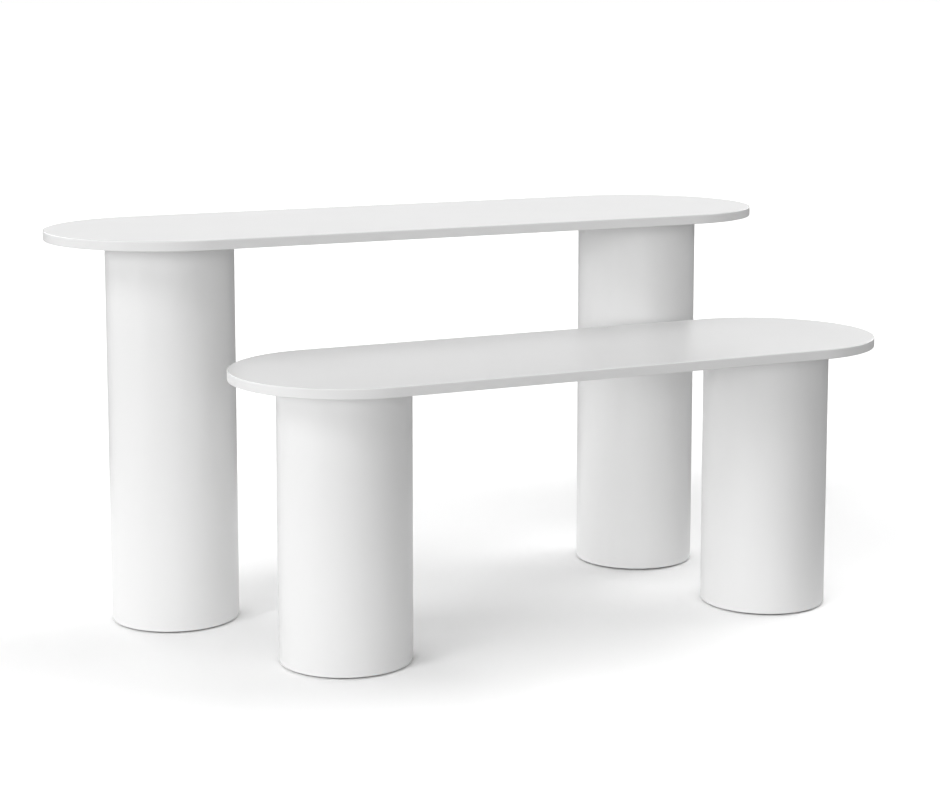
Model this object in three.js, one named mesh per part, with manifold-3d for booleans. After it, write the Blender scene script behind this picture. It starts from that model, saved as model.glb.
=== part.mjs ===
// A pair of nesting display tables that make two tiers: a tall table behind, and a
// lower one in front of it, set to the right and pushed a little way under the tall top.
// Each table is a slab with half-round ends on two round drum legs. Every drum is held
// between the slab and a steel base plate by one central tie rod, and stands on three
// levelling glides that hold its rim just clear of the floor.
//
// Millimetres. +Z is up, +X runs along the slabs, +Y points from the lower table to the
// upper one. The origin is on the floor, under the middle of the whole set.

import * as THREE from 'three';
import { mergeVertices } from 'three/addons/utils/BufferGeometryUtils.js';
import Module from 'manifold-3d';

const wasm = await Module();
wasm.setup();

// ---------------------------------------------------------------- driving dimensions

const TOP_THICKNESS = 22;
const TOP_ARRIS = 2; // rounding of the slab's edges

const UPPER = { name: 'upper', length: 1780, width: 568, height: 900, legSpacing: 1220, x: -18.5, y: 226.5 };
const LOWER = { name: 'lower', length: 1560, width: 518, height: 637, legSpacing: 1068, x: 128.5, y: -251.5 };

const DRUM_R = 145; // outside radius of every drum leg
const DRUM_WALL = 9;
const DRUM_CHAMFER = 1; // eased edge at the foot
const FLOOR_GAP = 4; // from the floor to the drum's rim

const GAP = 0.3; // between pieces that touch

const HEAD_DISC_T = 18;
const HEAD_DISC_DROP = 13; // from the slab's underside to the disc
const HEAD_DISC_BORE = 12.5;

const BASE_RING_T = 18;
const BASE_RING_BORE = 112;

const BASE_PLATE_R = 132;
const BASE_PLATE_T = 8;

const FIXING_PLATE_R = 100;
const FIXING_PLATE_T = 6;
const BOSS_R = 12;
const BOSS_H = 10;

const SCREW_CIRCLE_R = 80;
const SCREW_HEAD_R = 5;
const SCREW_HEAD_H = 3.2;
const SCREW_R = 2.5;
const SCREW_DEPTH = 16; // into the slab
const SCREW_PILOT_R = 2.9;
const SCREW_CLEAR_R = 3.1;

const ROD_R = 6;
const ROD_CLEAR_R = 6.4;
const ROD_END_Z = 4.6; // lower end, just inside the rim

const NUT_FLATS = 18;
const NUT_FLANGE_R = 13;
const NUT_FLANGE_H = 2.5;
const NUT_H = 11;

const GLIDE_CIRCLE_R = 95;
const GLIDE_PAD_R = 19;
const GLIDE_PAD_H = 10;
const GLIDE_COLLAR_FLATS = 17;
const GLIDE_COLLAR_H = 7;
const GLIDE_STEM_R = 5;
const GLIDE_STEM_L = 33;
const GLIDE_HOLE_R = 5.4;

const FACETS_DRUM = 48;
const FACETS_DISC = 32;
const FACETS_PLATE = 24;
const FACETS_SMALL = 12;

// ---------------------------------------------------------------- helpers

// A closed geometry as a solid: shared corners merged, empty triangles dropped, faces out.
function solid(geometry) {
  const bare = geometry.clone();
  bare.deleteAttribute('normal');
  bare.deleteAttribute('uv');
  const merged = mergeVertices(bare, 1e-4);
  const p = merged.attributes.position.array;
  const index = merged.index.array;
  const tris = [];
  let volume = 0;
  for (let i = 0; i < index.length; i += 3) {
    const [a, b, c] = [index[i], index[i + 1], index[i + 2]];
    if (a === b || b === c || a === c) continue;
    tris.push(a, b, c);
    const [A, B, C] = [a, b, c].map((k) => new THREE.Vector3(p[3 * k], p[3 * k + 1], p[3 * k + 2]));
    volume += A.dot(B.cross(C));
  }
  if (volume < 0) {
    for (let i = 0; i < tris.length; i += 3) [tris[i + 1], tris[i + 2]] = [tris[i + 2], tris[i + 1]];
  }
  return new wasm.Manifold(
    new wasm.Mesh({ numProp: 3, vertProperties: new Float32Array(p), triVerts: new Uint32Array(tris) }),
  );
}

function geometryOf(body) {
  const mesh = body.getMesh();
  const geometry = new THREE.BufferGeometry();
  geometry.setAttribute('position', new THREE.BufferAttribute(new Float32Array(mesh.vertProperties), 3));
  geometry.setIndex(new THREE.BufferAttribute(new Uint32Array(mesh.triVerts), 1));
  geometry.computeVertexNormals();
  return geometry;
}

// Turned piece about Z from [radius, height] points.
function turned(points, facets) {
  const profile = points.map(([r, z]) => new THREE.Vector2(r, z));
  return new THREE.LatheGeometry(profile, facets).rotateX(Math.PI / 2);
}

// Upright bar between two heights. Six facets give a hexagon of the stated corner radius.
function upright(radius, z0, z1, facets, x = 0, y = 0) {
  return new THREE.CylinderGeometry(radius, radius, z1 - z0, facets)
    .rotateX(Math.PI / 2)
    .translate(x, y, (z0 + z1) / 2);
}

function ringPoints(count, radius, startDeg) {
  return Array.from({ length: count }, (_, i) => {
    const a = THREE.MathUtils.degToRad(startDeg + (360 / count) * i);
    return [radius * Math.cos(a), radius * Math.sin(a)];
  });
}

function cut(body, ...tools) {
  return tools.reduce((left, tool) => left.subtract(solid(tool)), body);
}

function hexCorner(flats) {
  return flats / Math.sqrt(3);
}

// ---------------------------------------------------------------- materials

const lacquer = () => new THREE.MeshStandardMaterial({ color: 0xf3f3f2, roughness: 0.42, metalness: 0 });
const plywood = () => new THREE.MeshStandardMaterial({ color: 0xcbb185, roughness: 0.75, metalness: 0 });
const zincSteel = () => new THREE.MeshStandardMaterial({ color: 0xa9adb2, roughness: 0.4, metalness: 1 });
const blackSteel = () => new THREE.MeshStandardMaterial({ color: 0x2b2d30, roughness: 0.55, metalness: 0.2 });
const nylon = () => new THREE.MeshStandardMaterial({ color: 0x55585c, roughness: 0.6, metalness: 0 });

const set = new THREE.Group();

function place(group, name, geometry, material) {
  const mesh = new THREE.Mesh(geometry, material);
  mesh.name = name;
  group.add(mesh);
}

// ---------------------------------------------------------------- tops

function slab(table) {
  const r = table.width / 2;
  const half = table.length / 2 - r;
  const outline = new THREE.Shape();
  outline.moveTo(-half, -r);
  outline.lineTo(half, -r);
  outline.absarc(half, 0, r, -Math.PI / 2, Math.PI / 2, false);
  outline.lineTo(-half, r);
  outline.absarc(-half, 0, r, Math.PI / 2, (3 * Math.PI) / 2, false);
  const under = table.height - TOP_THICKNESS;
  const body = solid(
    new THREE.ExtrudeGeometry(outline, {
      depth: TOP_THICKNESS - 2 * TOP_ARRIS,
      curveSegments: 26,
      bevelEnabled: true,
      bevelThickness: TOP_ARRIS,
      bevelSize: TOP_ARRIS,
      bevelOffset: -TOP_ARRIS,
      bevelSegments: 2,
    }).translate(0, 0, under + TOP_ARRIS),
  );
  // blind pilot holes for the fixing screws, over both legs
  const pilots = [-1, 1].flatMap((side) =>
    ringPoints(4, SCREW_CIRCLE_R, 45).map(([x, y]) =>
      upright(SCREW_PILOT_R, under - 1, under + SCREW_DEPTH + 0.8, 8, (side * table.legSpacing) / 2 + x, y),
    ),
  );
  return geometryOf(cut(body, ...pilots));
}

// ---------------------------------------------------------------- leg pieces

const plateZ = GLIDE_PAD_H + GLIDE_COLLAR_H + GAP; // underside of the base plate
const ringZ = plateZ + BASE_PLATE_T + GAP;
const drumBore = DRUM_R - DRUM_WALL;
const inDrum = drumBore * Math.cos(Math.PI / FACETS_DRUM) - GAP - 0.05;

function drum(under) {
  return geometryOf(
    solid(
      turned(
        [
          [drumBore, FLOOR_GAP],
          [DRUM_R - DRUM_CHAMFER, FLOOR_GAP],
          [DRUM_R, FLOOR_GAP + DRUM_CHAMFER],
          [DRUM_R, under - GAP],
          [drumBore, under - GAP],
          [drumBore, FLOOR_GAP],
        ],
        FACETS_DRUM,
      ),
    ),
  );
}

function washerOf(outer, inner, z0, z1, facets) {
  return turned(
    [
      [inner, z0],
      [outer, z0],
      [outer, z1],
      [inner, z1],
      [inner, z0],
    ],
    facets,
  );
}

function headDisc(under) {
  const z1 = under - HEAD_DISC_DROP;
  const disc = solid(upright(inDrum, z1 - HEAD_DISC_T, z1, FACETS_DISC));
  return geometryOf(cut(disc, upright(HEAD_DISC_BORE, z1 - HEAD_DISC_T - 1, z1 + 1, 20)));
}

function baseRing() {
  return geometryOf(solid(washerOf(inDrum, BASE_RING_BORE, ringZ, ringZ + BASE_RING_T, FACETS_DISC)));
}

function basePlate() {
  const plate = solid(upright(BASE_PLATE_R, plateZ, plateZ + BASE_PLATE_T, FACETS_PLATE));
  const holes = ringPoints(3, GLIDE_CIRCLE_R, 90).map(([x, y]) =>
    upright(GLIDE_HOLE_R, plateZ - 1, plateZ + BASE_PLATE_T + 1, FACETS_SMALL, x, y),
  );
  return geometryOf(cut(plate, upright(ROD_CLEAR_R, plateZ - 1, plateZ + BASE_PLATE_T + 1, FACETS_SMALL), ...holes));
}

function fixingPlate(under) {
  const z1 = under - GAP;
  const z0 = z1 - FIXING_PLATE_T;
  const plate = solid(
    turned(
      [
        [0, z0 - BOSS_H],
        [BOSS_R, z0 - BOSS_H],
        [BOSS_R, z0],
        [FIXING_PLATE_R, z0],
        [FIXING_PLATE_R, z1],
        [0, z1],
      ],
      FACETS_PLATE,
    ),
  );
  const holes = ringPoints(4, SCREW_CIRCLE_R, 45).map(([x, y]) => upright(SCREW_CLEAR_R, z0 - 1, z1 + 1, 8, x, y));
  return geometryOf(cut(plate, upright(ROD_CLEAR_R, z0 - BOSS_H - 1, z1 + 1, FACETS_SMALL), ...holes));
}

// Pan-head wood screw, driven upwards.
function screw(under, x, y) {
  const head = under - GAP - FIXING_PLATE_T - GAP;
  return geometryOf(
    solid(
      turned(
        [
          [0, head - SCREW_HEAD_H],
          [SCREW_HEAD_R - 1.6, head - SCREW_HEAD_H],
          [SCREW_HEAD_R, head - SCREW_HEAD_H + 1.4],
          [SCREW_HEAD_R, head],
          [SCREW_R, head],
          [SCREW_R, under + SCREW_DEPTH - 4],
          [0, under + SCREW_DEPTH],
        ],
        8,
      ).translate(x, y, 0),
    ),
  );
}

function tieRod(under) {
  return geometryOf(solid(upright(ROD_R, ROD_END_Z, under - 1.5, FACETS_SMALL)));
}

function tieNut() {
  const z1 = plateZ - GAP;
  const z0 = z1 - NUT_H;
  const body = solid(upright(hexCorner(NUT_FLATS), z0, z1 - NUT_FLANGE_H / 2, 6)).add(
    solid(upright(NUT_FLANGE_R, z1 - NUT_FLANGE_H, z1, 16)),
  );
  return geometryOf(cut(body, upright(ROD_CLEAR_R, z0 - 1, z1 + 1, FACETS_SMALL)));
}

// Levelling glide: pad with rounded edges, hexagon collar and threaded stem in one unit.
function glide(x, y) {
  const collar = GLIDE_PAD_H + GLIDE_COLLAR_H;
  const pad = solid(
    turned(
      [
        [0, 0],
        [GLIDE_PAD_R - 1.5, 0],
        [GLIDE_PAD_R, 1.5],
        [GLIDE_PAD_R, GLIDE_PAD_H - 3],
        [GLIDE_PAD_R - 5, GLIDE_PAD_H],
        [0, GLIDE_PAD_H],
      ],
      FACETS_SMALL,
    ),
  );
  const hex = solid(upright(hexCorner(GLIDE_COLLAR_FLATS), GLIDE_PAD_H - 1, collar, 6));
  const stem = solid(
    turned(
      [
        [0, collar - 1],
        [GLIDE_STEM_R, collar - 1],
        [GLIDE_STEM_R, collar + GLIDE_STEM_L - 1],
        [GLIDE_STEM_R - 1, collar + GLIDE_STEM_L],
        [0, collar + GLIDE_STEM_L],
      ],
      10,
    ),
  );
  return geometryOf(pad.add(hex).add(stem)).translate(x, y, 0);
}

// ---------------------------------------------------------------- assembly

for (const table of [UPPER, LOWER]) {
  const group = new THREE.Group();
  group.position.set(table.x, table.y, 0);
  set.add(group);

  const under = table.height - TOP_THICKNESS;
  place(group, `${table.name}_top`, slab(table), lacquer());

  for (const [side, sign] of [['left', -1], ['right', 1]]) {
    const leg = new THREE.Group();
    leg.position.set((sign * table.legSpacing) / 2, 0, 0);
    group.add(leg);
    const part = (piece) => `${table.name}_${side}_${piece}`;

    place(leg, part('leg_shell'), drum(under), lacquer());
    place(leg, part('head_disc'), headDisc(under), plywood());
    place(leg, part('base_ring'), baseRing(), plywood());
    place(leg, part('base_plate'), basePlate(), blackSteel());
    place(leg, part('fixing_plate'), fixingPlate(under), zincSteel());
    place(leg, part('tie_rod'), tieRod(under), zincSteel());
    place(leg, part('tie_nut'), tieNut(), zincSteel());
    ringPoints(4, SCREW_CIRCLE_R, 45).forEach(([x, y], i) => {
      place(leg, part(`fixing_screw_${i + 1}`), screw(under, x, y), zincSteel());
    });
    ringPoints(3, GLIDE_CIRCLE_R, 90).forEach(([x, y], i) => {
      place(leg, part(`glide_${i + 1}`), glide(x, y), nylon());
    });
  }
}

export default set;
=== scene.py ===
"""Looks of a pair of nesting display tables in satin white lacquer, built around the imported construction.

Metres, +Z up, in the construction's own frame. The tops, drums, glides, tie rods, nuts and screws are finer
meshes in the place of their plain solids; the plywood and plate pieces keep theirs and get their finish here.
"""

import math

import bmesh
import bpy
from mathutils import Matrix, Vector


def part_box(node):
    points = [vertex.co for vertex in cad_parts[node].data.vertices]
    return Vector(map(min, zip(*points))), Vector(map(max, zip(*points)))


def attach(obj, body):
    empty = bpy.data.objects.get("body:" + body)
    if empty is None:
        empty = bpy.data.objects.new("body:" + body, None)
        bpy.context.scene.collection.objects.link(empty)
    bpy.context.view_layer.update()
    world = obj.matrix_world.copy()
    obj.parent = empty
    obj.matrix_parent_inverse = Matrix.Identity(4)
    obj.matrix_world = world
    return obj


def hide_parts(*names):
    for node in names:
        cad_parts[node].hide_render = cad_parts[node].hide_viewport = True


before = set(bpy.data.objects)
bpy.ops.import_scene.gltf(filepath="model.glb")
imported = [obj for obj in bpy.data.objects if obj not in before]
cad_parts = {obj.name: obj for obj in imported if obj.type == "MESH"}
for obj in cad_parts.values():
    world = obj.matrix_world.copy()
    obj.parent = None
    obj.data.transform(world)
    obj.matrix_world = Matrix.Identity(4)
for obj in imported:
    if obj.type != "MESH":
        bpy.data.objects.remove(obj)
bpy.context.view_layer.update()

TABLES = ("upper", "lower")
SIDES = ("left", "right")
LEGS = [(t, s) for t in TABLES for s in SIDES]

# ------------------------------------------------------------------------------------------------ mesh building


def new_object(name, mesh):
    obj = bpy.data.objects.new(name, mesh)
    bpy.context.scene.collection.objects.link(obj)
    return obj


def mesh_from(name, verts, faces, normals=None, edge=None):
    """A smooth mesh. normals gives each vertex's true normal, so that flat faces stay flat beside small radii.
    edge is a number for each vertex, 1 on an arris and 0 away from it, which the finish reads."""
    mesh = bpy.data.meshes.new(name)
    mesh.from_pydata(verts, [], faces)
    mesh.validate()
    for p in mesh.polygons:
        p.use_smooth = True
    if edge is not None:
        layer = mesh.attributes.new("edge", "FLOAT", "POINT")
        layer.data.foreach_set("value", edge)
    if normals is not None:
        mesh.normals_split_custom_set_from_vertices(normals)
    mesh.update()
    return mesh


def stadium(length, width, inset, per_end):
    """Outline of a slab with half-round ends, anticlockwise from the right end's front, with outward directions."""
    r = width / 2
    half = length / 2 - r
    points = []
    for sign, start in ((1, -math.pi / 2), (-1, math.pi / 2)):
        for i in range(per_end + 1):
            a = start + math.pi * i / per_end
            c, s = math.cos(a), math.sin(a)
            points.append((sign * half + (r - inset) * c, (r - inset) * s, c, s))
    return points


def slab(name, length, width, z0, z1, radius, per_end=112):
    """Slab with half-round ends and a rounded arris above and below."""
    steps = 7
    rings = []  # inset, z, normal outwards, normal upwards, edge
    for inset in (0.060, 0.018, 0.006):
        rings.append((inset, z0, 0.0, -1.0, 0.0))
    for k in range(steps + 1):
        a = -math.pi / 2 + math.pi / 2 * k / steps
        rings.append((radius * (1 - math.cos(a)), z0 + radius * (1 + math.sin(a)), math.cos(a), math.sin(a), 0.6))
    rings.append((0.0, z0 + 0.35 * (z1 - z0), 1.0, 0.0, 0.12))
    rings.append((0.0, z0 + 0.65 * (z1 - z0), 1.0, 0.0, 0.12))
    for k in range(steps + 1):
        a = math.pi / 2 * k / steps
        rings.append((radius * (1 - math.cos(a)), z1 - radius * (1 - math.sin(a)), math.cos(a), math.sin(a), 1.0))
    for inset, edge in ((0.006, 0.35), (0.018, 0.1), (0.060, 0.0)):
        rings.append((inset, z1, 0.0, 1.0, edge))

    verts, normals, edges, faces = [], [], [], []
    count = 2 * (per_end + 1)
    for inset, z, out, up, edge in rings:
        for x, y, c, s in stadium(length, width, inset, per_end):
            verts.append((x, y, z))
            normals.append((c * out, s * out, up))
            edges.append(edge)
    for i in range(len(rings) - 1):
        for j in range(count):
            k = (j + 1) % count
            a, b = i * count, (i + 1) * count
            faces.append((a + j, a + k, b + k, b + j))
    # flat faces as strips across the slab, from one end to the other
    for base, flip in ((0, True), ((len(rings) - 1) * count, False)):
        n = per_end
        right = [(base + i, base + n - i) for i in range(n // 2 + 1)]  # front, back, from the straight part to the tip
        left = [(base + n + 1 + n - i, base + n + 1 + i) for i in range(n // 2 + 1)]
        chain = [*reversed(left), *right]
        for (f0, b0), (f1, b1) in zip(chain, chain[1:]):
            quad = [f0, f1, b1, b0]
            tidy = [v for i, v in enumerate(quad) if v != quad[i - 1]]
            faces.append(tuple(reversed(tidy)) if flip else tuple(tidy))
    return mesh_from(name, verts, faces, normals, edges)


def turned(name, profile, segments, centre=(0.0, 0.0), normals=True):
    """Turned piece about an upright axis. profile holds (radius, z, normal outwards, normal upwards, edge) in order,
    from the lower end round the outside to the upper end; a point on the axis closes that end, else it closes on itself."""
    cx, cy = centre
    closed = profile[0][0] > 1e-9
    verts, vn, edges, faces, rows = [], [], [], [], []
    for r, z, out, up, edge in profile:
        if r < 1e-9:
            rows.append([len(verts)])
            verts.append((cx, cy, z))
            vn.append((0.0, 0.0, up))
            edges.append(edge)
            continue
        row = []
        for j in range(segments):
            a = 2 * math.pi * j / segments
            c, s = math.cos(a), math.sin(a)
            row.append(len(verts))
            verts.append((cx + r * c, cy + r * s, z))
            vn.append((c * out, s * out, up))
            edges.append(edge)
        rows.append(row)
    pairs = list(zip(rows, rows[1:]))
    if closed:
        pairs.append((rows[-1], rows[0]))
    for lower, upper in pairs:
        for j in range(segments):
            k = (j + 1) % segments
            if len(lower) == 1 and len(upper) == 1:
                continue
            if len(lower) == 1:
                faces.append((lower[0], upper[k], upper[j]))
            elif len(upper) == 1:
                faces.append((lower[j], lower[k], upper[0]))
            else:
                faces.append((lower[j], lower[k], upper[k], upper[j]))
    return mesh_from(name, verts, faces, vn if normals else None, edges)


def arc(r0, z0, radius, start, end, steps, edge):
    """Profile points of a rounded corner about (r0, z0), angles in degrees from outwards towards up."""
    points = []
    for k in range(steps + 1):
        a = math.radians(start + (end - start) * k / steps)
        points.append((r0 + radius * math.cos(a), z0 + radius * math.sin(a), math.cos(a), math.sin(a), edge))
    return points


# ------------------------------------------------------------------------------------------------ finishes


class Nodes:
    """A material's node tree, written from the shader backwards."""

    def __init__(self, name):
        self.material = bpy.data.materials.new(name)
        self.material.use_nodes = True
        self.tree = self.material.node_tree
        self.tree.nodes.clear()
        self.out = self.add("ShaderNodeOutputMaterial")
        self.shader = self.add("ShaderNodeBsdfPrincipled")
        self.link(self.shader.outputs["BSDF"], self.out.inputs["Surface"])
        self.where = self.add("ShaderNodeTexCoord").outputs["Object"]

    def add(self, kind, **values):
        node = self.tree.nodes.new(kind)
        for key, value in values.items():
            setattr(node, key, value)
        return node

    def link(self, a, b):
        self.tree.links.new(a, b)

    def put(self, socket, value):
        if isinstance(value, bpy.types.NodeSocket):
            self.link(value, socket)
        else:
            socket.default_value = value

    def set(self, **values):
        for key, value in values.items():
            self.put(self.shader.inputs[key.replace("_", " ")], value)

    def noise(self, scale, detail=2.0, rough=0.5, stretch=None, distort=0.0):
        node = self.add("ShaderNodeTexNoise")
        node.inputs["Scale"].default_value = scale
        node.inputs["Detail"].default_value = detail
        node.inputs["Roughness"].default_value = rough
        node.inputs["Distortion"].default_value = distort
        self.link(self.scaled(stretch) if stretch else self.where, node.inputs["Vector"])
        return node.outputs["Fac"]

    def scaled(self, stretch):
        node = self.add("ShaderNodeMapping")
        node.inputs["Scale"].default_value = stretch
        self.link(self.where, node.inputs["Vector"])
        return node.outputs["Vector"]

    def distance(self, x, y):
        """How far a point lies from a middle on the floor, along an ellipse longer in X."""
        place = self.add("ShaderNodeMapping")
        place.inputs["Location"].default_value = (-0.72 * x, -y, 0.0)
        place.inputs["Scale"].default_value = (0.72, 1.0, 1.0)
        self.link(self.where, place.inputs["Vector"])
        node = self.add("ShaderNodeVectorMath", operation="LENGTH")
        self.link(place.outputs["Vector"], node.inputs[0])
        return node.outputs["Value"]

    def axis(self, index):
        node = self.add("ShaderNodeSeparateXYZ")
        self.link(self.where, node.inputs[0])
        return node.outputs[index]

    def math(self, operation, a, b=0.0, clamp=False):
        node = self.add("ShaderNodeMath", operation=operation, use_clamp=clamp)
        self.put(node.inputs[0], a)
        self.put(node.inputs[1], b)
        return node.outputs[0]

    def ramp(self, value, low, high, to_low=0.0, to_high=1.0, smooth=True):
        node = self.add("ShaderNodeMapRange")
        if smooth:
            node.interpolation_type = "SMOOTHSTEP"
        self.put(node.inputs["Value"], value)
        for name, v in (("From Min", low), ("From Max", high), ("To Min", to_low), ("To Max", to_high)):
            node.inputs[name].default_value = v
        return node.outputs["Result"]

    def mix(self, factor, a, b):
        node = self.add("ShaderNodeMix", data_type="RGBA")
        self.put(node.inputs["Factor"], factor)
        for socket, value in ((node.inputs[6], a), (node.inputs[7], b)):
            self.put(socket, value if isinstance(value, bpy.types.NodeSocket) else (*value, 1.0))
        return node.outputs[2]

    def attribute(self, name):
        return self.add("ShaderNodeAttribute", attribute_name=name).outputs["Fac"]

    def bump(self, height, distance, strength=1.0, after=None):
        node = self.add("ShaderNodeBump")
        node.inputs["Strength"].default_value = strength
        node.inputs["Distance"].default_value = distance
        self.link(height, node.inputs["Height"])
        if after is not None:
            self.link(after, node.inputs["Normal"])
        return node.outputs["Normal"]


def lacquer(name, foot=False):
    """Sprayed satin white lacquer: a faint cloud in the tone, a very slight orange peel, handling marks in the gloss,
    arrises a little smoother with a little wear and painted lighter as a highlight, and on the drums scuffs near the
    floor."""
    n = Nodes(name)
    cloud = n.noise(2.6, 2.0, 0.5)
    tone = n.mix(n.ramp(cloud, 0.3, 0.7), (0.757, 0.757, 0.756), (0.764, 0.764, 0.763))
    fine = n.noise(95.0, 4.0, 0.6)
    worn = n.math("MULTIPLY", n.attribute("edge"), n.ramp(fine, 0.52, 0.74), clamp=True)
    tone = n.mix(n.math("MULTIPLY", worn, 0.10), tone, (0.690, 0.687, 0.680))
    # painted highlight: the arrises are painted a lighter tone; the same mask also makes them a little smoother in the
    # gloss
    painted_highlight_and_polish = n.ramp(n.attribute("edge"), 0.7, 1.0)
    tone = n.mix(n.math("MULTIPLY", painted_highlight_and_polish, 0.6), tone, (0.860, 0.860, 0.858))
    gloss = n.ramp(n.noise(7.0, 3.0, 0.55), 0.3, 0.75, 0.290, 0.312)
    gloss = n.math("SUBTRACT", gloss, n.math("MULTIPLY", painted_highlight_and_polish, 0.05))
    if foot:
        low = n.ramp(n.axis(2), 0.006, 0.070, 1.0, 0.0)
        streaks = n.ramp(n.noise(60.0, 5.0, 0.65, stretch=(0.55, 0.55, 1.9), distort=0.6), 0.56, 0.74)
        scuffed = n.math("MULTIPLY", low, streaks, clamp=True)
        tone = n.mix(n.math("MULTIPLY", scuffed, 0.10), tone, (0.560, 0.558, 0.552))
        gloss = n.math("ADD", gloss, n.math("MULTIPLY", scuffed, 0.06))
    n.set(Base_Color=tone, Roughness=gloss)
    n.set(IOR=1.47)
    peel = n.noise(240.0, 1.0, 0.4)
    wave = n.noise(14.0, 1.0, 0.4)
    n.set(Normal=n.bump(peel, 0.000008, 1.0, after=n.bump(wave, 0.000060, 1.0)))
    return n.material


def plywood(name):
    """Birch plywood: long grain with darker pores on the faces, and alternate plies on the edges."""
    n = Nodes(name)
    grain = n.noise(16.0, 6.0, 0.62, stretch=(1.0, 11.0, 1.0), distort=0.5)
    face = n.mix(n.ramp(grain, 0.32, 0.70), (0.640, 0.478, 0.292), (0.742, 0.600, 0.412))
    pores = n.ramp(n.noise(130.0, 4.0, 0.6, stretch=(1.0, 16.0, 1.0)), 0.60, 0.74)
    face = n.mix(n.math("MULTIPLY", pores, 0.38), face, (0.380, 0.240, 0.125))
    ply = n.math("SINE", n.math("MULTIPLY", n.axis(2), 2 * math.pi / 0.0029))
    end = n.mix(n.ramp(ply, -0.35, 0.35), (0.400, 0.268, 0.150), (0.680, 0.530, 0.345))
    upright = n.add("ShaderNodeSeparateXYZ")
    n.link(n.add("ShaderNodeNewGeometry").outputs["Normal"], upright.inputs[0])
    flat = n.ramp(n.math("ABSOLUTE", upright.outputs[2]), 0.4, 0.8)
    n.set(Base_Color=n.mix(flat, end, face), Roughness=n.ramp(grain, 0.3, 0.7, 0.58, 0.78))
    n.set(Normal=n.bump(pores, 0.0003, 0.35))
    return n.material


def zinc(name):
    """Bright zinc plate with a soft spangle and a few dull stains."""
    n = Nodes(name)
    spangle = n.noise(180.0, 3.0, 0.55)
    tone = n.mix(n.ramp(spangle, 0.3, 0.7), (0.560, 0.575, 0.590), (0.660, 0.672, 0.682))
    stain = n.ramp(n.noise(24.0, 4.0, 0.6), 0.58, 0.78)
    n.set(Base_Color=n.mix(n.math("MULTIPLY", stain, 0.4), tone, (0.470, 0.455, 0.425)))
    n.set(Roughness=n.ramp(n.noise(75.0, 4.0, 0.6), 0.3, 0.7, 0.26, 0.44))
    n.set(Metallic=1.0)
    n.set(Normal=n.bump(spangle, 0.00012, 0.3))
    return n.material


def black_steel(name):
    """Black powder coat with its fine texture, rubbed a little where it was handled."""
    n = Nodes(name)
    grit = n.noise(900.0, 3.0, 0.6)
    tone = n.mix(n.ramp(grit, 0.3, 0.7), (0.018, 0.018, 0.019), (0.036, 0.037, 0.039))
    rubbed = n.ramp(n.noise(34.0, 5.0, 0.66), 0.62, 0.80)
    n.set(Base_Color=n.mix(n.math("MULTIPLY", rubbed, 0.5), tone, (0.095, 0.096, 0.098)))
    n.set(Roughness=n.ramp(grit, 0.2, 0.8, 0.48, 0.66))
    n.set(Normal=n.bump(grit, 0.0003, 0.5))
    return n.material


def glide_finish(name, pad_top):
    """Moulded nylon pad below, plated steel collar and stem above."""
    n = Nodes(name)
    grain = n.noise(700.0, 3.0, 0.6)
    pad = n.mix(n.ramp(grain, 0.3, 0.7), (0.066, 0.067, 0.070), (0.094, 0.095, 0.099))
    spangle = n.noise(260.0, 3.0, 0.55)
    steel = n.mix(n.ramp(spangle, 0.3, 0.7), (0.540, 0.555, 0.570), (0.650, 0.662, 0.672))
    is_steel = n.ramp(n.axis(2), pad_top - 0.0001, pad_top + 0.0001, smooth=False)
    n.set(Base_Color=n.mix(is_steel, pad, steel), Metallic=is_steel)
    n.set(Roughness=n.ramp(is_steel, 0.0, 1.0, 0.55, 0.34, smooth=False))
    n.set(Normal=n.bump(grain, 0.0002, 0.35))
    return n.material


def floor_finish(name):
    """Pale matt studio floor. Its colour, as the camera sees it, is painted brighter away from the tables and darker
    near them, which is painted light and shade; and only its middle throws light back up at them, as a sweep of limited
    size does."""
    n = Nodes(name)
    n.tree.nodes.remove(n.shader)
    matt = n.add("ShaderNodeBsdfDiffuse")
    n.link(matt.outputs["BSDF"], n.out.inputs["Surface"])
    cloud = n.noise(0.8, 3.0, 0.5)
    tone = n.mix(cloud, (0.940, 0.940, 0.940), (0.955, 0.955, 0.955))
    # painted light and shade: for camera rays the floor's colour rises with distance from the tables
    painted_lift = n.ramp(n.distance(*LIFT_MIDDLE), *LIFT_SPAN, *LIFT)
    bounce = n.ramp(n.distance(*SWEEP_MIDDLE), *SWEEP_SPAN, *SWEEP)
    seen = n.add("ShaderNodeLightPath").outputs["Is Camera Ray"]
    gain = n.math("ADD", n.math("MULTIPLY", n.math("SUBTRACT", painted_lift, bounce), seen), bounce)
    bright = n.add("ShaderNodeVectorMath", operation="SCALE")
    n.link(tone, bright.inputs[0])
    n.link(gain, bright.inputs["Scale"])
    n.link(bright.outputs["Vector"], matt.inputs["Color"])
    n.link(n.bump(n.noise(240.0, 2.0, 0.5), 0.0002, 0.15), matt.inputs["Normal"])
    return n.material


LIFT_MIDDLE, LIFT_SPAN, LIFT = (0.3, 0.6), (0.4, 1.4), (1.10, 1.36)
SWEEP_MIDDLE, SWEEP_SPAN, SWEEP = (-0.9, 0.2), (1.0, 1.95), (1.0, 0.23)

TOP_FINISH = lacquer("white_lacquer_top")
DRUM_FINISH = lacquer("white_lacquer_drum", foot=True)
PLY_FINISH = plywood("birch_plywood")
ZINC_FINISH = zinc("zinc_plate")
PLATE_FINISH = black_steel("black_powder_coat")
GLIDE_FINISH = glide_finish("glide", 0.010)


def dress(obj, material):
    obj.data.materials.clear()
    obj.data.materials.append(material)


# ------------------------------------------------------------------------------------------------ tops and drums

ARRIS = 0.002

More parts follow.
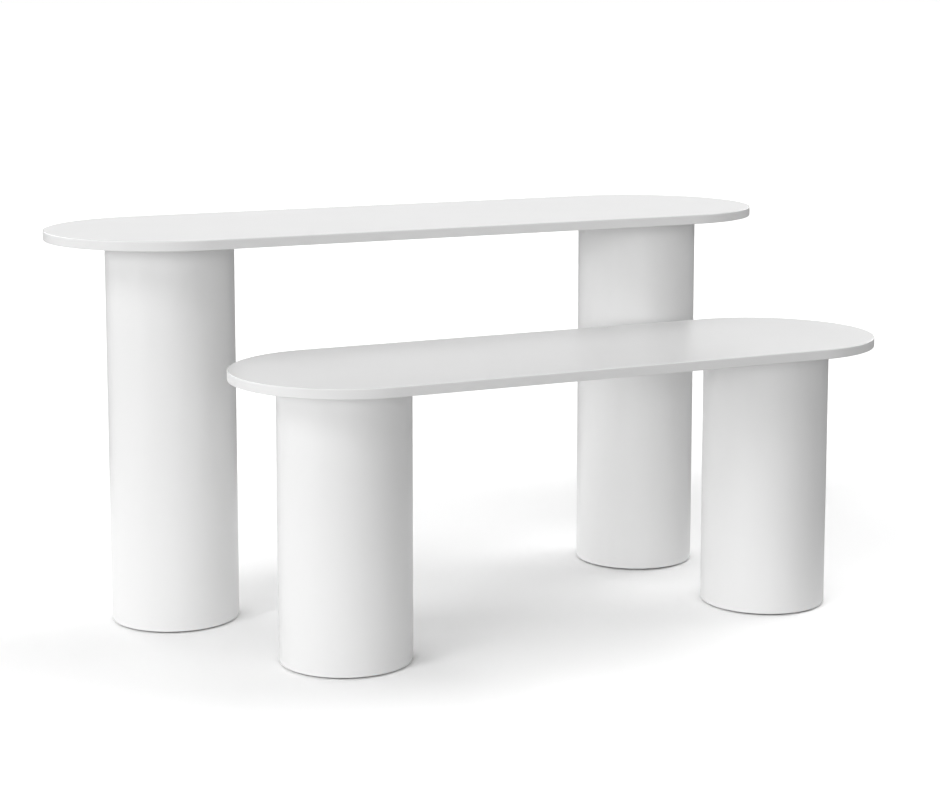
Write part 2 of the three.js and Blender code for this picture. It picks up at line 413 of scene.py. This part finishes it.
for table in TABLES:
    low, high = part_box(f"{table}_top")
    mesh = slab(f"{table}_top_slab", high.x - low.x, high.y - low.y, low.z, high.z, ARRIS)
    mesh.transform(Matrix.Translation(((low.x + high.x) / 2, (low.y + high.y) / 2, 0)))
    top = new_object(f"{table}_top_slab", mesh)
    dress(top, TOP_FINISH)
    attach(top, f"{table}_table")
    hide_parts(f"{table}_top")

for table, side in LEGS:
    low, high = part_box(f"{table}_{side}_leg_shell")
    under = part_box(f"{table}_top")[0].z
    centre = ((low.x + high.x) / 2, (low.y + high.y) / 2)
    ro, ri, z0, z1 = (high.x - low.x) / 2, (high.x - low.x) / 2 - 0.009, low.z, under - 0.00005
    e = 0.0022
    profile = [
        *arc(ri + 0.0008, z0 + 0.0008, 0.0008, 180, 270, 3, 0.3),
        (ri + 0.0040, z0, 0.0, -1.0, 0.2),
        *arc(ro - e, z0 + e, e, -90, 0, 6, 1.0),
        (ro, z0 + 0.010, 1.0, 0.0, 0.3),
        (ro, z0 + 0.040, 1.0, 0.0, 0.0),
        (ro, z0 + 0.110, 1.0, 0.0, 0.0),
        (ro, (z0 + z1) / 2, 1.0, 0.0, 0.0),
        (ro, z1 - 0.020, 1.0, 0.0, 0.0),
        *arc(ro - 0.0006, z1 - 0.0006, 0.0006, 0, 90, 4, 0.0),
        *arc(ri + 0.0006, z1 - 0.0006, 0.0006, 90, 180, 3, 0.0),
        (ri, z1 - 0.020, -1.0, 0.0, 0.0),
        (ri, z0 + 0.020, -1.0, 0.0, 0.0),
    ]
    mesh = turned(f"{table}_{side}_drum", profile, 192, centre)
    drum = new_object(f"{table}_{side}_drum", mesh)
    dress(drum, DRUM_FINISH)
    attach(drum, f"{table}_table")
    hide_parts(f"{table}_{side}_leg_shell")

# ------------------------------------------------------------------------------------------------ inner pieces


def thread(radius, depth, pitch, z0, z1):
    """Profile points of a thread's ridges between two heights."""
    turns = max(1, int((z1 - z0) / pitch))
    step = (z1 - z0) / turns
    points = []
    for k in range(turns):
        points.append((radius - depth, z0 + step * k, 0.8, -0.6 if k == 0 else 0.0, 0.0))
        points.append((radius, z0 + step * (k + 0.5), 1.0, 0.0, 1.0))
    points.append((radius - depth, z1, 0.8, 0.6, 0.0))
    return points


def hexagon(name, across_flats, z0, z1, centre, bevel=0.0006):
    """Hexagon with eased edges."""
    bm = bmesh.new()
    r = across_flats / 2 / math.cos(math.pi / 6)
    ring = [bm.verts.new((centre[0] + r * math.cos(k * math.pi / 3), centre[1] + r * math.sin(k * math.pi / 3), z0)) for k in range(6)]
    bottom = bm.faces.new(list(reversed(ring)))
    top = [bm.verts.new((v.co.x, v.co.y, z1)) for v in ring]
    bm.faces.new(top)
    for k in range(6):
        bm.faces.new((ring[k], ring[(k + 1) % 6], top[(k + 1) % 6], top[k]))
    bmesh.ops.bevel(bm, geom=list(bm.edges), offset=bevel, segments=2, profile=0.5, affect="EDGES")
    bm.normal_update()
    mesh = bpy.data.meshes.new(name)
    bm.to_mesh(mesh)
    bm.free()
    return mesh


def place(name, mesh, material, body, slot, node=None):
    obj = new_object(name, mesh)
    dress(obj, material)
    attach(obj, body)
    if node:
        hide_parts(node)
    return obj


SCREW_HEAD = 0.0032

for name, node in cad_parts.items():
    if name.endswith(("head_disc", "base_ring")):
        dress(node, PLY_FINISH)
    elif name.endswith("base_plate"):
        dress(node, PLATE_FINISH)
    elif name.endswith("fixing_plate"):
        dress(node, ZINC_FINISH)
    elif "fixing_screw" in name:
        low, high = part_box(name)
        centre = ((low.x + high.x) / 2, (low.y + high.y) / 2)
        z0, neck, tip = low.z, low.z + SCREW_HEAD, high.z
        profile = [
            (0.0, z0 + 0.0016, 0.0, -1.0, 0.0),
            (0.0012, z0 + 0.0014, -0.4, -0.9, 0.0),
            (0.0020, z0 + 0.0001, -0.7, -0.7, 0.4),
            (0.0026, z0, 0.1, -0.99, 0.4),
            (0.0036, z0 + 0.0005, 0.45, -0.89, 0.2),
            (0.0044, z0 + 0.0013, 0.8, -0.6, 0.2),
            (0.0047, z0 + 0.0021, 1.0, 0.0, 0.2),
            (0.0047, neck - 0.0002, 1.0, 0.0, 0.2),
            (0.0045, neck, 0.0, 1.0, 0.0),
            (0.0019, neck, 0.7, 0.7, 0.0),
            (0.0018, neck + 0.0040, 1.0, 0.0, 0.0),
            *thread(0.0022, 0.0006, 0.0018, neck + 0.0044, tip - 0.0042),
            (0.0013, tip - 0.0024, 0.9, 0.4, 0.0),
            (0.0, tip, 0.4, 0.9, 0.0),
        ]
        table = f"{name.split('_')[0]}_table"
        place(f"{name}_body", turned(f"{name}_body", profile, 24, centre), ZINC_FINISH, table, "zinc_steel", name)
    elif name.endswith("tie_rod"):
        low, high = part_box(name)
        r = (high.x - low.x) / 2
        profile = [
            (0.0, low.z, 0.0, -1.0, 0.0),
            (r - 0.0012, low.z, 0.0, -1.0, 0.0),
            (r - 0.0010, low.z + 0.0002, 0.7, -0.7, 0.3),
            *thread(r, 0.0007, 0.00175, low.z + 0.0008, low.z + 0.044),
            (r - 0.0002, low.z + 0.046, 1.0, 0.0, 0.0),
            (r - 0.0002, high.z - 0.036, 1.0, 0.0, 0.0),
            *thread(r, 0.0007, 0.00175, high.z - 0.034, high.z - 0.0008),
            (r - 0.0010, high.z - 0.0002, 0.7, 0.7, 0.3),
            (r - 0.0012, high.z, 0.0, 1.0, 0.0),
            (0.0, high.z, 0.0, 1.0, 0.0),
        ]
        centre = ((low.x + high.x) / 2, (low.y + high.y) / 2)
        mesh = turned(f"{name}_bar", profile, 24, centre)
        place(f"{name}_bar", mesh, ZINC_FINISH, f"{name.split('_')[0]}_table", "zinc_steel", name)
    elif name.endswith("tie_nut"):
        low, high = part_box(name)
        centre = ((low.x + high.x) / 2, (low.y + high.y) / 2)
        table = f"{name.split('_')[0]}_table"
        bore, wide, thick = 0.0064, (high.x - low.x) / 2, 0.0026
        profile = [
            (bore, low.z, 0.0, -1.0, 0.0),
            (0.0083, low.z, 0.0, -1.0, 0.0),
            (0.0083, high.z - thick - 0.0006, 1.0, 0.0, 0.0),
            (0.0100, high.z - thick, 0.3, -0.95, 0.2),
            *arc(wide - 0.0006, high.z - 0.0012, 0.0006, -70, 0, 3, 1.0),
            *arc(wide - 0.0006, high.z - 0.0006, 0.0006, 0, 90, 3, 1.0),
            (bore, high.z, 0.0, 1.0, 0.0),
        ]
        mesh = turned(f"{name}_flange", profile, 48, centre)
        place(f"{name}_flange", mesh, ZINC_FINISH, table, "zinc_steel", name)
        # six jaws round the flange's neck
        bm = bmesh.new()
        outer = 0.009 / math.cos(math.pi / 6)
        rows = []
        for z, shrink in ((low.z, 0.0006), (low.z + 0.0008, 0.0), (high.z - thick - 0.0002, 0.0)):
            rows.append([bm.verts.new((centre[0] + (outer - shrink) * math.cos(k * math.pi / 3), centre[1] + (outer - shrink) * math.sin(k * math.pi / 3), z)) for k in range(6)])
            rows.append([bm.verts.new((centre[0] + 0.0083 * math.cos(k * math.pi / 3), centre[1] + 0.0083 * math.sin(k * math.pi / 3), z)) for k in range(6)])
        for lower, upper in ((rows[0], rows[2]), (rows[2], rows[4])):
            for k in range(6):
                bm.faces.new((lower[k], lower[(k + 1) % 6], upper[(k + 1) % 6], upper[k]))
        for k in range(6):
            j = (k + 1) % 6
            bm.faces.new((rows[1][k], rows[1][j], rows[0][j], rows[0][k]))
            bm.faces.new((rows[4][k], rows[4][j], rows[5][j], rows[5][k]))
            bm.faces.new((rows[1][j], rows[1][k], rows[5][k], rows[5][j]))
        bm.normal_update()
        mesh = bpy.data.meshes.new(f"{name}_jaws")
        bm.to_mesh(mesh)
        bm.free()
        place(f"{name}_jaws", mesh, ZINC_FINISH, table, "zinc_steel")
    elif "_glide_" in name:
        low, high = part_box(name)
        centre = ((low.x + high.x) / 2, (low.y + high.y) / 2)
        r, z0 = 0.019, low.z
        profile = [
            (0.0, z0, 0.0, -1.0, 0.0),
            (r - 0.0040, z0, 0.0, -1.0, 0.0),
            *arc(r - 0.0020, z0 + 0.0020, 0.0020, -90, 0, 5, 0.6),
            *arc(r - 0.0030, z0 + 0.0060, 0.0030, 0, 70, 5, 0.3),
            (0.0125, z0 + 0.0096, 0.25, 0.97, 0.0),
            (0.0108, z0 + 0.0100, 0.0, 1.0, 0.0),
            (0.0072, z0 + 0.0100, 0.0, 1.0, 0.0),
            (0.0050, z0 + 0.0101, 0.7, 0.7, 0.0),
            (0.0043, z0 + 0.0172, 1.0, 0.0, 0.0),
            *thread(0.0050, 0.0006, 0.0015, z0 + 0.0176, high.z - 0.0008),
            (0.0040, high.z, 0.0, 1.0, 0.0),
            (0.0, high.z, 0.0, 1.0, 0.0),
        ]
        place(f"{name}_foot", turned(f"{name}_foot", profile, 32, centre), GLIDE_FINISH, name, "glide_nylon", name)
        collar = hexagon(f"{name}_collar", 0.017, z0 + 0.0101, z0 + 0.0169, centre)
        place(f"{name}_collar", collar, ZINC_FINISH, name, "zinc_steel")

# ------------------------------------------------------------------------------------------------ stage, light and camera

mesh = bpy.data.meshes.new("floor")
half = 480.0
mesh.from_pydata([(-half, -half, 0), (half, -half, 0), (half, half, 0), (-half, half, 0)], [], [(0, 1, 2, 3)])
floor = new_object("floor", mesh)
dress(floor, floor_finish("studio_floor"))

YAW = math.radians(26.195)  # the camera looks this far round from +Y towards +X
PITCH = math.radians(7.491)

camera_data = bpy.data.cameras.new("camera")
camera_data.lens = 82.454
camera_data.sensor_width = 36.0
camera_data.sensor_fit = "HORIZONTAL"
camera_data.shift_y = -0.12
camera_data.dof.use_dof = False
camera_data.clip_end = 2000.0
camera = bpy.data.objects.new("camera", camera_data)
bpy.context.scene.collection.objects.link(camera)
look = Vector((math.sin(YAW) * math.cos(PITCH), math.cos(YAW) * math.cos(PITCH), -math.sin(PITCH)))
camera.location = (-2.1506, -4.4033, 1.4126)
camera.rotation_mode = "QUATERNION"
camera.rotation_quaternion = look.to_track_quat("-Z", "Y")
bpy.context.scene.camera = camera


def sun(name, side_deg, elevation_deg, strength, angle_deg):
    """Soft parallel light. side_deg is measured from the direction of the camera, positive to its right."""
    data = bpy.data.lights.new(name, "SUN")
    data.energy = strength
    data.angle = math.radians(angle_deg)
    light = bpy.data.objects.new(name, data)
    bpy.context.scene.collection.objects.link(light)
    a = math.radians(side_deg) - YAW
    e = math.radians(elevation_deg)
    towards = Vector((math.sin(a) * math.cos(e), -math.cos(a) * math.cos(e), math.sin(e)))
    light.rotation_mode = "QUATERNION"
    light.rotation_quaternion = (-towards).to_track_quat("-Z", "Y")
    light.location = towards * 8
    return light


# A white tent: round panels of light as side, elevation, width in degrees and strength. The left and the front are lit
# mostly from low down, the back at all heights, and the front right hardly at all.
PANELS = (
    (-120, 8, 20, 0.154),
    (-105, 8, 20, 0.379),
    (-90, 8, 20, 0.292),
    (-60, 8, 20, 0.295),
    (-45, 8, 20, 0.474),
    (-15, 8, 20, 0.452),
    (0, 8, 20, 0.474),
    (15, 8, 20, 0.314),
    (-138, 12, 34, 0.537),
    (90, 12, 34, 0.196),
    (120, 12, 34, 0.537),
    (150, 12, 34, 0.537),
    (180, 12, 34, 0.290),
    (0, 22, 20, 0.067),
    (-138, 36, 34, 0.403),
    (-90, 36, 20, 0.080),
    (-45, 36, 20, 0.431),
    (-30, 36, 20, 0.311),
    (30, 36, 20, 0.053),
    (60, 36, 34, 0.042),
    (120, 36, 34, 0.328),
    (-30, 50, 20, 0.096),
    (-138, 60, 34, 0.127),
    (120, 60, 34, 0.537),
    (150, 60, 34, 0.265),
    (180, 60, 34, 0.196),
    (0, 88, 34, 0.217),
)
for i, (side_deg, elevation_deg, width_deg, strength) in enumerate(PANELS):
    sun(f"panel_{i}", side_deg, elevation_deg, strength, width_deg)

world = bpy.data.worlds.new("studio")
bpy.context.scene.world = world
world.use_nodes = True
tree = world.node_tree
tree.nodes.clear()
out = tree.nodes.new("ShaderNodeOutputWorld")
mixer = tree.nodes.new("ShaderNodeMixShader")
dome = tree.nodes.new("ShaderNodeBackground")
dome.inputs["Color"].default_value = (1, 1, 1, 1)
dome.inputs["Strength"].default_value = 0.0
backdrop = tree.nodes.new("ShaderNodeBackground")
backdrop.inputs["Color"].default_value = (1, 1, 1, 1)
backdrop.inputs["Strength"].default_value = 1.0
path = tree.nodes.new("ShaderNodeLightPath")
tree.links.new(path.outputs["Is Camera Ray"], mixer.inputs[0])
tree.links.new(dome.outputs[0], mixer.inputs[1])
tree.links.new(backdrop.outputs[0], mixer.inputs[2])
tree.links.new(mixer.outputs[0], out.inputs["Surface"])

scene = bpy.context.scene
scene.view_settings.view_transform = "Standard"
scene.view_settings.look = "None"
scene.view_settings.exposure = 0.0
scene.view_settings.gamma = 1.0
